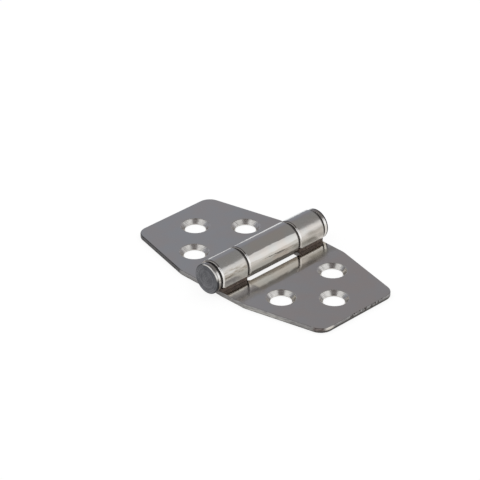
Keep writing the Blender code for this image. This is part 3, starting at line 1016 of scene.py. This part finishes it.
# Light tent, a dome of cloth with a long lit panel on each side.
# Only mirrors see it: it gives the polished steel something to reflect, grey cloth behind and
# above, white panels to the left and right, and a dark opening at the top for the lens.
TENT_R = 1.5
TENT_FOOT_DEG = 2.5
TENT_ROWS = 24
TENT_COLUMNS = 48
CLOTH_LEFT = (0.343, 0.361, 0.420)
CLOTH_RIGHT = (0.326, 0.326, 0.364)
CLOTH_TOP = (0.337, 0.339, 0.350)
CLOTH_MIDDLE = (-0.03, 0.05)
CLOTH_TOP_FROM = (0.55, 0.72)
PANEL_COLOUR = (0.97, 1.0, 1.05)
PANEL_LOW = 1.2
PANEL_LOW_FROM = (0.6, 0.25)
SIDE_PANELS_FROM = (0.20, 0.42)
SIDE_PANELS_BACK = (0.42, 0.34)
SIDE_PANELS_LEAN = 0.5
FRONT_PANEL_FROM = (-0.45, -0.6)
FRONT_PANEL_TOP = (0.72, 0.55)
RIGHT_PANEL_FROM = (0.45, 0.6)
RIGHT_PANEL_TOP = (0.58, 0.48)
RIGHT_PANEL_BACK = (0.62, 0.30)
OPENING_COLOUR = (0.15, 0.135, 0.14)
OPENING_FROM = (0.72, 0.80)
OPENING_BACK = (0.30, 0.12)
OPENING_SIDES = (0.40, 0.26)


def tent_mesh():
    """Dome of quads, open at the foot."""
    points = []
    for row in range(TENT_ROWS):
        up = math.radians(TENT_FOOT_DEG + (90 - TENT_FOOT_DEG) * row / TENT_ROWS)
        for column in range(TENT_COLUMNS):
            a = 2 * math.pi * column / TENT_COLUMNS
            flat = TENT_R * math.cos(up)
            points.append((flat * math.cos(a), flat * math.sin(a), TENT_R * math.sin(up)))
    points.append((0, 0, TENT_R))
    faces = []
    for column in range(TENT_COLUMNS):
        ahead = (column + 1) % TENT_COLUMNS
        for row in range(TENT_ROWS - 1):
            low = row * TENT_COLUMNS
            high = low + TENT_COLUMNS
            faces.append((low + column, high + column, high + ahead, low + ahead))
        last = (TENT_ROWS - 1) * TENT_COLUMNS
        faces.append((last + column, len(points) - 1, last + ahead))
    mesh = bpy.data.meshes.new("light_tent")
    mesh.from_pydata(points, [], faces)
    mesh.shade_smooth()
    return mesh


def tent_cloth():
    """Lit cloth, whose brightness depends on the direction it is seen in from the hinge."""
    material, tree, place = emptied("tent cloth")
    material.cycles.emission_sampling = "NONE"
    look = put(tree, "VectorMath", {0: place}, operation="NORMALIZE").outputs["Vector"]
    across = toward(tree, look, ACROSS)
    away = toward(tree, look, AWAY)
    up = parts(tree, look)["Z"]
    aside = compute(tree, "ABSOLUTE", across)
    grey = tinted(tree, fade(tree, across, *CLOTH_MIDDLE), CLOTH_LEFT, CLOTH_RIGHT)
    grey = tinted(tree, fade(tree, up, *CLOTH_TOP_FROM), grey, CLOTH_TOP)
    sides = fade(tree, aside, *SIDE_PANELS_FROM)
    front = product(
        tree, fade(tree, away, *FRONT_PANEL_FROM), fade(tree, up, *FRONT_PANEL_TOP)
    )
    back_edge = compute(tree, "ADD", away, product(tree, up, SIDE_PANELS_LEAN))
    panels = compute(tree, "MAXIMUM", sides, front)
    panels = product(tree, panels, fade(tree, back_edge, *SIDE_PANELS_BACK))
    right = product(
        tree,
        fade(tree, across, *RIGHT_PANEL_FROM),
        fade(tree, up, *RIGHT_PANEL_TOP),
        fade(tree, away, *RIGHT_PANEL_BACK),
    )
    panels = compute(tree, "MAXIMUM", panels, right)
    brighter = {0: PANEL_COLOUR, "Scale": fade(tree, up, *PANEL_LOW_FROM, 1.0, PANEL_LOW)}
    lit = put(tree, "VectorMath", brighter, operation="SCALE").outputs["Vector"]
    opening = product(
        tree,
        fade(tree, up, *OPENING_FROM),
        fade(tree, away, *OPENING_BACK),
        fade(tree, aside, *OPENING_SIDES),
    )
    colour = tinted(tree, opening, tinted(tree, panels, grey, lit), OPENING_COLOUR)
    glow = put(tree, "Emission", {"Color": colour}).outputs[0]
    put(tree, "OutputMaterial", {"Surface": glow})
    return material


tent = bpy.data.objects.new("light_tent", tent_mesh())
bpy.context.scene.collection.objects.link(tent)
tent.visible_camera = False
tent.visible_diffuse = False
tent.visible_shadow = False
tent.data.materials.append(tent_cloth())


# Room light and camera.
# The room is white all round. The camera stands to the right of the pin's near end, 31 degrees
# above the table.
CAMERA_AT = (0.402773, -0.405764, 0.346716)
CAMERA_DOWN_DEG = 30.6103
LENS_MM = 173.284
SENSOR_MM = 36

room = bpy.data.worlds.new("white room")
bpy.context.scene.world = room
room.use_nodes = True
sky = room.node_tree.nodes["Background"]
sky.inputs["Color"].default_value = (1, 1, 1, 1)
sky.inputs["Strength"].default_value = 1.0

lens = bpy.data.cameras.new("camera")
lens.sensor_width = SENSOR_MM
lens.lens = LENS_MM
lens.clip_start = 0.01
camera = bpy.data.objects.new("camera", lens)
camera.location = CAMERA_AT
camera.rotation_euler = (math.radians(90 - CAMERA_DOWN_DEG), 0, math.radians(SHOT_DEG))
bpy.context.scene.collection.objects.link(camera)
bpy.context.scene.camera = camera
bpy.context.scene.view_settings.view_transform = "Standard"
